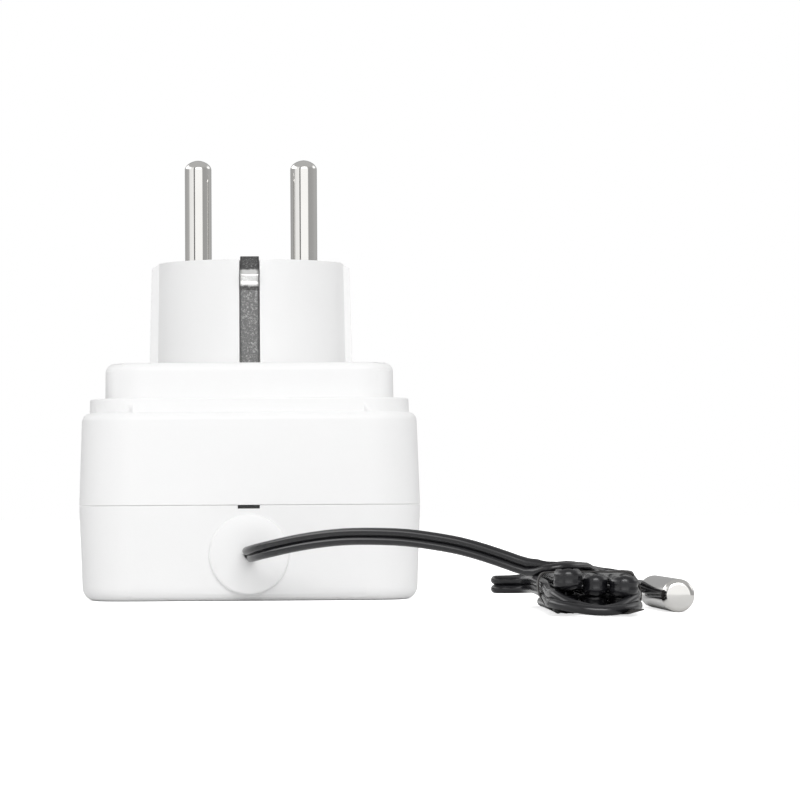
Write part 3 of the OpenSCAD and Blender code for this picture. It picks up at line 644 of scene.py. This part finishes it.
def key_cap(name):
    """Key cap with a rounded rim and a shallow finger dish, on its wider flange."""
    low, high = in_mm(name + "_key")
    middle = (low + high) / 2
    flange_r = (high.x - low.x) / 2
    cap_r, flange_z, flange_t = flange_r - FLANGE_W, low.z + CAP_H, 0.8
    rim, dish_depth, rings = 0.45, 0.22, 8
    dish = [((cap_r - rim) * k / rings, low.z + dish_depth * (1 - (k / rings) ** 2))
            for k in range(rings + 1)]
    profile = (
        dish + arc((cap_r - rim, low.z + rim), rim, -90, 0)
        + [(cap_r, flange_z), (flange_r, flange_z), (flange_r, flange_z + flange_t),
           (cap_r, flange_z + flange_t), (cap_r, high.z), (0, high.z)]
    )
    cap = lathe(name + "_key_skin", profile, (middle.x, middle.y, 0), steps=64)
    fit_out(key_mark(name, middle, low.z), "housing_white", body=name + "_button")
    return fit_out(cap, "key_grey", name + "_key", body=name + "_button")


for key in MARKS:
    key_cap(key)


# ---------------------------------------------------------------- the lead, its hank and the tie

LEAD_W, LEAD_T, CORE_SPREAD = 2.9, 1.45, 0.965
LEAD_ROUTE = [
    (0, -59, 8), (0, -62, 8), (0.3, -65, 8.1), (1.6, -68.5, 8.5), (4, -72, 9.1), (7.5, -76, 9.9),
    (11.5, -80.5, 10.6), (16, -85.5, 11.1), (21, -91, 11.2), (26, -96, 11), (30.5, -100, 10.4),
    (34.5, -103.5, 9.65), (38, -106.3, 8.65), (41.5, -109, 7.45), (44.5, -111.6, 6.45),
]
PROBE_ROUTE = [
    (56.6, -88, 3), (58.4, -86, 2.8), (60.8, -85.4, 2.6), (62.8, -86.6, 2.5), (63.7, -89.4, 2.5),
    (64, -93, 2.5), (64.12, -98, 2.5), (64.31, -104, 2.5), (64.5, -110, 2.5),
]
COLUMNS = (47.2, 48.9, 51.3, 53.0, 55.4, 57.1)
UPPER_Z, LOWER_Z = 4.38, 1.55
FAR_END_Y = -103.5
# A run is straight between these two places, on so many points, and its far fold has this radius
RUN_FAR_Y, RUN_NEAR_Y, RUN_POINTS = FAR_END_Y - 6, -142, 4
FAR_FOLD_R = 1.25
# Half of a fold's turn in degrees, plain or bulging past its two runs, and the steps in the whole turn
PLAIN_REACH, BULGING_REACH, FOLD_STEPS = 90, 122, 6
# How far back from the fold its neck lies, and the neck's share of the fold's change of height
NECK_BACK, NECK_SHARE = 2.6, 0.55
ON_EDGE, LEANING = (0, 0, 1), (-0.6, 0, 1)


def on_edge(points, wide=ON_EDGE):
    return [(point, wide) for point in points]


def fold(x0, x1, y, z, outward, radius, end_z):
    """A tight turn of the cord at one end of the hank, wider than its two runs where they lie too close."""
    side = 1 if x1 > x0 else -1
    middle, half = (x0 + x1) / 2, abs(x1 - x0) / 2
    reach = PLAIN_REACH if half >= radius - 0.05 else BULGING_REACH
    neck = radius * math.cos(math.radians(reach)) - NECK_BACK
    bulb = []
    for k in range(FOLD_STEPS + 1):
        a = math.radians(-reach + 2 * reach * k / FOLD_STEPS)
        bulb.append((middle + side * radius * math.sin(a), y + outward * radius * math.cos(a), end_z))
    neck_z = z + (end_z - z) * NECK_SHARE
    return [(x0, y + outward * neck, neck_z)] + bulb + [(x1, y + outward * neck, neck_z)]


def layer(height, near_folds):
    """Six runs side by side from the right column to the left one, joined by folds at both ends."""
    points = []
    for n in range(len(COLUMNS) - 1, -1, -1):
        near_going = n % 2 == 1
        ys = np.linspace(RUN_FAR_Y, RUN_NEAR_Y, RUN_POINTS)
        points += [(COLUMNS[n], y, height) for y in (ys if near_going else ys[::-1])]
        if n and near_going:
            y, radius, end_z = near_folds[n - 1]
            points += fold(COLUMNS[n], COLUMNS[n - 1], y, height, -1, radius, end_z)
        elif n:
            points += fold(COLUMNS[n], COLUMNS[n - 1], FAR_END_Y, height, 1, FAR_FOLD_R, height)
    return points


# Bulb of each near fold: its place along Y, its radius and its height
UPPER_FOLDS = {0: (-151.2, 1.35, 5.3), 2: (-149.6, 1.1, 4.4), 4: (-150.6, 1.4, 4.2)}
LOWER_FOLDS = {0: (-146.2, 1.15, 1.75), 2: (-147.4, 1.2, 1.75), 4: (-146.6, 1.2, 1.75)}

over_top = [
    ((47.2, -113.6, 6.35), (-0.3, 1, 0.3)), ((49.2, -114.0, 6.5), (-0.2, 1, 0.1)),
    ((51.2, -112.4, 6.58), (-0.3, 1, 0.1)), ((53.2, -108.6, 6.4), (-0.6, 0.8, 0)),
    ((55.0, -103.8, 5.7), (-0.6, 0.7, 0.3)), ((56.8, -100.0, 4.9), (-0.4, 0.4, 0.8)),
    ((59.0, -98.2, 4.4), ON_EDGE), ((61.0, -99.4, 4.1), ON_EDGE), ((61.3, -102.0, 4.2), ON_EDGE),
    ((59.8, -104.6, UPPER_Z), ON_EDGE), ((57.8, -107.0, UPPER_Z), ON_EDGE),
]
side_loop = [
    (47.0, -103.2, 4.3), (46.2, -100.6, 4.1), (44.6, -99.0, 3.75), (42.6, -98.6, 3.55), (41.0, -98.7, 3.52),
    (40.2, -99.25, 3.5), (40.02, -100.1, 3.5), (40.4, -100.95, 3.5), (41.5, -101.3, 3.5), (43.2, -101.7, 3.5),
    (44.6, -102.9, 3.55), (45.3, -105.4, 3.65), (45.6, -110, 3.7), (45.6, -120, 3.7), (45.6, -130, 3.7),
    (45.6, -138, 3.5), (45.6, -144, 3.0),
]
sling = [
    ((45.6, -148.6, 2.6), ON_EDGE), ((45.7, -151.4, 2.6), (0.5, 0.3, 1)),
    ((46.5, -153.8, 2.2), (0.5, 0.8, 0.6)), ((48.2, -155.6, 1.65), (0.2, 1, 0.3)),
    ((50.4, -156.7, 1.15), (0, 1, 0.15)), ((52.9, -156.9, 0.9), (0, 1, 0.05)),
    ((55.1, -155.8, 1.15), (-0.3, 1, 0.15)), ((56.9, -153.4, 1.6), (-0.5, 0.8, 0.5)),
    ((58.1, -150.2, 2.0), (-0.2, 0.2, 1)), ((58.5, -146, 2.3), ON_EDGE),
]
right_back = [(58.6, -138, 2.6), (58.6, -128, 2.6), (58.6, -118, 2.4), (58.9, -110, 1.9)]
right_back += fold(59.1, 57.1, -102.4, 1.6, 1, 1.2, 1.5)
behind = [
    (47.2, -103.4, 1.5), (47.6, -99.8, 1.5), (49.6, -97.4, 1.5), (52.4, -96.6, 1.5), (54.8, -95.2, 1.8),
    (56.0, -92, 2.7),
]

cord_points = (
    on_edge(LEAD_ROUTE[:3], LEANING) + [(LEAD_ROUTE[3], (-0.35, 0, 1))] + on_edge(LEAD_ROUTE[4:]) + over_top
    + on_edge(layer(UPPER_Z, UPPER_FOLDS)) + on_edge(side_loop) + sling + on_edge(right_back)
    + on_edge(layer(LOWER_Z, LOWER_FOLDS)) + on_edge(behind + PROBE_ROUTE)
)


def smooth_line(points, longest, widest_turn):
    """A smooth line through the points, closer sampled where it turns, as places and wide axes."""
    places = np.array([p for p, _ in points], float)
    wides = np.array([w for _, w in points], float)
    knots = np.concatenate([[0], np.cumsum(np.sqrt(np.linalg.norm(np.diff(places, axis=0), axis=1)))])
    found, found_wide = [], []
    for i in range(len(places) - 1):
        j = [max(i - 1, 0), i, i + 1, min(i + 2, len(places) - 1)]
        p = places[j].copy()
        t = knots[j].copy()
        if i == 0:
            p[0], t[0] = 2 * p[1] - p[2], t[1] - (t[2] - t[1])
        if i == len(places) - 2:
            p[3], t[3] = 2 * p[2] - p[1], t[2] + (t[2] - t[1])
        chord = np.linalg.norm(p[2] - p[1])
        turn = angle_between(p[1] - p[0], p[2] - p[1]) + angle_between(p[2] - p[1], p[3] - p[2])
        count = max(1, math.ceil(chord / longest), math.ceil(turn / 2 / widest_turn))
        for k in range(count + (i == len(places) - 2)):
            share = k / count
            at = t[1] + (t[2] - t[1]) * share
            a = [between(p[m], p[m + 1], t[m], t[m + 1], at) for m in range(3)]
            b = [between(a[m], a[m + 1], t[m], t[m + 2], at) for m in range(2)]
            found.append(between(b[0], b[1], t[1], t[2], at))
            found_wide.append(wides[i] * (1 - share) + wides[i + 1] * share)
    return np.array(found), np.array(found_wide)


def between(a, b, ta, tb, t):
    return a + (b - a) * (t - ta) / (tb - ta)


def angle_between(a, b):
    cosine = a @ b / (np.linalg.norm(a) * np.linalg.norm(b))
    return math.degrees(math.acos(max(-1, min(1, cosine))))


def twin_section(width, thick, steps=11):
    """Two round cores side by side, a little merged, as (thin way, wide way) points in millimetres."""
    r = thick / 2
    core = (width / 2 - r) * CORE_SPREAD
    start = -math.asin(min(1, core / r))
    turn = math.pi - 2 * start
    lobe = [(r * math.cos(start + turn * k / steps), core + r * math.sin(start + turn * k / steps))
            for k in range(steps)]
    return np.array(lobe + [(-x, -y) for x, y in lobe])


def bent_sections(places, plain, oval, folded, most=0.6, sharp=0.42, easy=0.2, narrowed=0.3):
    """A section for each place: plain, and part oval in the tight folds whose y is below folded.

    The oval's share grows from 0 at the curvature easy, in 1/mm, to most at sharp. Beside a fold's crown
    the section is also narrowed, by up to the share narrowed of its width."""
    half = len(plain) // 2
    round_about = np.pi * np.arange(half) / half
    lobe = np.column_stack([oval[0] * np.cos(round_about), oval[1] * np.sin(round_about)])
    swollen = np.vstack([lobe, -lobe])
    steps = np.diff(places, axis=0)
    lengths = np.linalg.norm(steps, axis=1)
    ahead = steps / lengths[:, None]
    turn = np.arccos(np.clip((ahead[1:] * ahead[:-1]).sum(1), -1, 1))
    curve = np.pad(turn / (lengths[1:] + lengths[:-1]) * 2, 1)
    curve, far_curve = [np.convolve(np.minimum(curve, 1), np.ones(n) / n, "same") for n in (5, 15)]
    share = most * (np.clip((curve - easy) / (sharp - easy), 0, 1) * (places[:, 1] < folded))[:, None, None]
    crown = np.clip(2 * far_curve / np.maximum(curve, easy) - 1, 0, 1)[:, None, None]
    bent = plain[None] * (1 - share) + swollen[None] * share
    narrowing = 1 - narrowed * (share / most) * (1 - crown)
    return bent * np.concatenate([np.ones_like(narrowing), narrowing], axis=2)


def sweep(name, places, wides, section, closed=False):
    """A bar along places, with one section or one for each place, its wide way held near wides."""
    if closed:
        ahead = (np.roll(places, -1, axis=0) - np.roll(places, 1, axis=0)) / 2
    else:
        ahead = np.gradient(places, axis=0)
    ahead /= np.linalg.norm(ahead, axis=1)[:, None]
    wide = wides - (wides * ahead).sum(1)[:, None] * ahead
    wide /= np.linalg.norm(wide, axis=1)[:, None]
    thin = np.cross(ahead, wide)
    rings = np.array(section, float)
    rings = rings if rings.ndim == 3 else rings[None]
    points = places[:, None] + rings[:, :, :1] * thin[:, None] + rings[:, :, 1:] * wide[:, None]
    rows, sides = points.shape[:2]
    faces = [] if closed else [list(range(sides))[::-1], [(rows - 1) * sides + k for k in range(sides)]]
    for i in range(rows if closed else rows - 1):
        j = (i + 1) % rows
        for k in range(sides):
            n = (k + 1) % sides
            faces.append([i * sides + k, i * sides + n, j * sides + n, j * sides + k])
    return mesh_object(name, points.reshape(-1, 3), faces, SWEEP_SMOOTH)


centreline, wide_axes = smooth_line(cord_points, longest=2.5, widest_turn=14)
sections = bent_sections(centreline, twin_section(LEAD_W, LEAD_T), oval=(0.95, 1.75), folded=-140)
lead = sweep("probe_cord", centreline, wide_axes, sections)


# The ring's points are (x, z) at TIE_Y
TIE_Y = -138.0
TIE_RING = [
    (44.55, 5.0), (44.5, 3.6), (45.0, 2.2), (46.0, 0.9), (47.6, 0.2), (52.0, 0.17), (57.0, 0.17), (58.9, 0.5),
    (59.75, 2.0), (59.5, 4.2), (58.3, 5.9), (55.0, 6.1), (50.0, 6.15), (46.4, 6.1), (45.1, 5.9),
]
TIE_TAILS = [
    [(51.5, -138.5, 0.62), (49.6, -146, 0.7), (48.0, -150.5, 0.95), (45.9, -154.0, 1.45)],
    [(53.0, -138.5, 0.5), (54.6, -147, 0.5), (55.9, -153.0, 0.58), (57.3, -159.2, 0.8)],
]


def twist_tie():
    """Flat paper tie with a wire in its middle, once round the hank, with two loose ends."""
    def strip(width, wire):
        half, paper, foot, crest = width / 2, 0.09, 0.45, 0.2
        ridge = [(paper, -foot), (wire, -crest), (wire, crest), (paper, foot)]
        return [(-paper, -half), (paper, -half)] + ridge + [(paper, half), (-paper, half)]

    ring = np.array([(x, TIE_Y, z) for x, z in TIE_RING])
    loop = np.vstack([ring, ring[:1]])
    fine, _ = smooth_line([(p, (0, 1, 0)) for p in loop], longest=0.8, widest_turn=12)
    along = np.tile((0.0, 1.0, 0.0), (len(fine) - 1, 1))
    band = sweep("tie_band", fine[:-1], along, strip(3.2, wire=0.14), closed=True)
    tails = []
    for n, points in enumerate(TIE_TAILS):
        tilt = (1, 0, 0.25) if n else (1, 0, -0.35)
        line, wides = smooth_line([(p, tilt) for p in points], longest=1.0, widest_turn=12)
        tails.append(sweep("tie_tail", line, wides, strip(2.4, wire=0.28)))
    return fit_out(joined("twist_tie", [band] + tails), "tie_black", "hank_tie")


tie = twist_tie()


def pry_slot_painted_shade():
    """Black bar at the bottom of the pry slot, put there as painted shade where the open slot would be dark.
    """
    r, deep, behind, gap, end_gap = 0.12, 0.3, 0.75, 0.03, 0.04
    high = SLOT_H / 2 - gap
    corners = [(deep - r, high - r, 0), (r - deep, high - r, 90),
               (r - deep, r - high, 180), (deep - r, r - high, 270)]
    section = [point for x, z, a in corners for point in arc((x, z), r, a, a + 90, 3)]
    y, z = END_Y + behind, SEAM_Z - SLOT_H / 2 - gap
    places = np.array([(x, y, z) for x in (end_gap - SLOT_HALF, 0, SLOT_HALF - end_gap)])
    # Painted shade: a black bar where the slot's inside would lie in shade
    pad = sweep("pry_slot_painted_shade", places, np.tile((0.0, 0.0, 1.0), (3, 1)), section)
    return fit_out(pad, "black_rubber")


# A black bar of painted shade in the pry slot
pry_slot_painted_shade()


# ---------------------------------------------------------------- probe

PROBE_BASE = Vector(PROBE_ROUTE[-1])
PROBE_YAW = math.radians(1.8)
PROBE_R, PROBE_L, PROBE_EDGE_R = 2.5, 29.0, 1.0


def probe_sleeve():
    """Drawn steel sleeve with a rounded closed end and an inward-rolled lip at the cord."""
    wall, crown, lip, lip_in, pole = 0.4, 0.1, 0.15, 0.05, 0.02
    edge_z, face_r = PROBE_L - PROBE_EDGE_R - crown, PROBE_R - PROBE_EDGE_R
    inner_z = PROBE_L - wall - crown
    face = [(face_r * k / 6, PROBE_L - crown * (k / 6) ** 2) for k in range(5, 0, -1)]
    profile = (
        [(PROBE_R - wall, lip_in), (PROBE_R - lip, 0), (PROBE_R, lip)]
        + arc((face_r, edge_z), PROBE_EDGE_R, 0, 84, 12) + face
        + [(pole, PROBE_L), (pole, inner_z), (face_r, inner_z), (PROBE_R - wall, edge_z)]
    )
    turn = Matrix.Rotation(PROBE_YAW, 3, "Z") @ Matrix.Rotation(math.radians(90), 3, "X")
    sleeve = lathe("probe_sleeve_skin", profile, PROBE_BASE, turn, steps=120)
    return fit_out(sleeve, "probe_steel", "probe_sleeve")


sleeve = probe_sleeve()
fit_out(lead, "lead_black", "sensor_lead", "lead_hank", "probe_lead")


# ---------------------------------------------------------------- floor and backdrop

ROOM_LEVEL = 0.46
MIRRORED_LEVEL = 1.3
# What metal mirrors at each angle round the horizon, 0 in front and 90 on the right: (degrees, brightness)
MIRRORED_ROOM = (
    (-179, 0.31), (-104, 0.4), (-84, 0.45), (-76, 0.85), (-38, 0.92), (-36, 0.12), (-28, 0.12), (-25, 1.0),
    (37, 1.0), (41, 0.34), (78, 0.36), (116, 0.42), (179, 0.31),
)
OVERHEAD_LEVEL = 0.45
LAMP_ROW_LEVEL = 2.2
# Where the overhead level and the lamp row lie, by height: 0 at the horizon and 1 straight up
OVERHEAD_HEIGHTS = ((0.45, 0.0), (0.75, 1.0))
LAMP_ROW_HEIGHTS = ((0.22, 0.0), (0.36, 1.0), (0.5, 1.0), (0.66, 0.0))
LAMP_ROW = ((-150, 0.0), (-130, 1.0), (-80, 1.0), (-64, 0.0), (90, 0.0), (105, 0.4), (125, 0.4), (150, 0.0))
FLOOR_GLOW = 0.7


def white_ground():
    """A pale floor that keeps the shadow, lifted to white for the camera."""
    bpy.ops.mesh.primitive_plane_add(size=8, location=(0, 0, 0))
    ground = bpy.context.active_object
    ground.name = "floor"
    paint = Paint("floor")
    camera = paint.node("ShaderNodeLightPath", output="Is Camera Ray")
    pale = paint.mixed(paint.noise(30, 2), (0.86, 0.86, 0.86), (0.88, 0.88, 0.88))
    matt = paint.node("ShaderNodeBsdfDiffuse", None, {"Color": pale})
    glow = paint.node("ShaderNodeEmission", None, {"Color": (1, 1, 1, 1), "Strength": camera * FLOOR_GLOW})
    both = paint.node("ShaderNodeAddShader", None, {0: matt, 1: glow})
    paint.node("ShaderNodeOutputMaterial", None, {"Surface": both})
    ground.data.materials.append(paint.material)


def studio_world():
    """Even light for diffuse surfaces, white for the camera, and a room of light and dark for metal."""
    world = bpy.data.worlds.new("studio")
    bpy.context.scene.world = world
    paint = Paint("studio", world)
    way = paint.node("ShaderNodeTexCoord", output="Generated")
    x, y, z = [paint.node("ShaderNodeSeparateXYZ", None, {"Vector": way}, output=n) for n in range(3)]
    round_about = paint.node("ShaderNodeMath", {"operation": "ARCTAN2"}, {0: x, 1: -1 * y})
    turn = round_about * (0.5 / math.pi) + 0.5
    level, beside = [
        paint.ramp(turn, *[(0.5 + degrees / 360, bright) for degrees, bright in row])
        for row in (MIRRORED_ROOM, LAMP_ROW)]
    high = paint.ramp(z, *OVERHEAD_HEIGHTS)
    lamp_row = paint.ramp(z, *LAMP_ROW_HEIGHTS)
    mirrored = level + (OVERHEAD_LEVEL - level) * high + lamp_row * beside * LAMP_ROW_LEVEL
    camera, glossy, through = [
        paint.node("ShaderNodeLightPath", output=name)
        for name in ("Is Camera Ray", "Is Glossy Ray", "Is Transmission Ray")]
    seen = paint.node("ShaderNodeMath", {"operation": "MAXIMUM"}, {0: camera, 1: through})
    plain = (1 - seen) * (1 - glossy)
    strength = seen + glossy * (1 - seen) * mirrored * MIRRORED_LEVEL + plain * ROOM_LEVEL
    light = paint.node("ShaderNodeBackground", None, {"Color": (1, 1, 1, 1), "Strength": strength})
    paint.node("ShaderNodeOutputWorld", None, {"Surface": light})


white_ground()
studio_world()
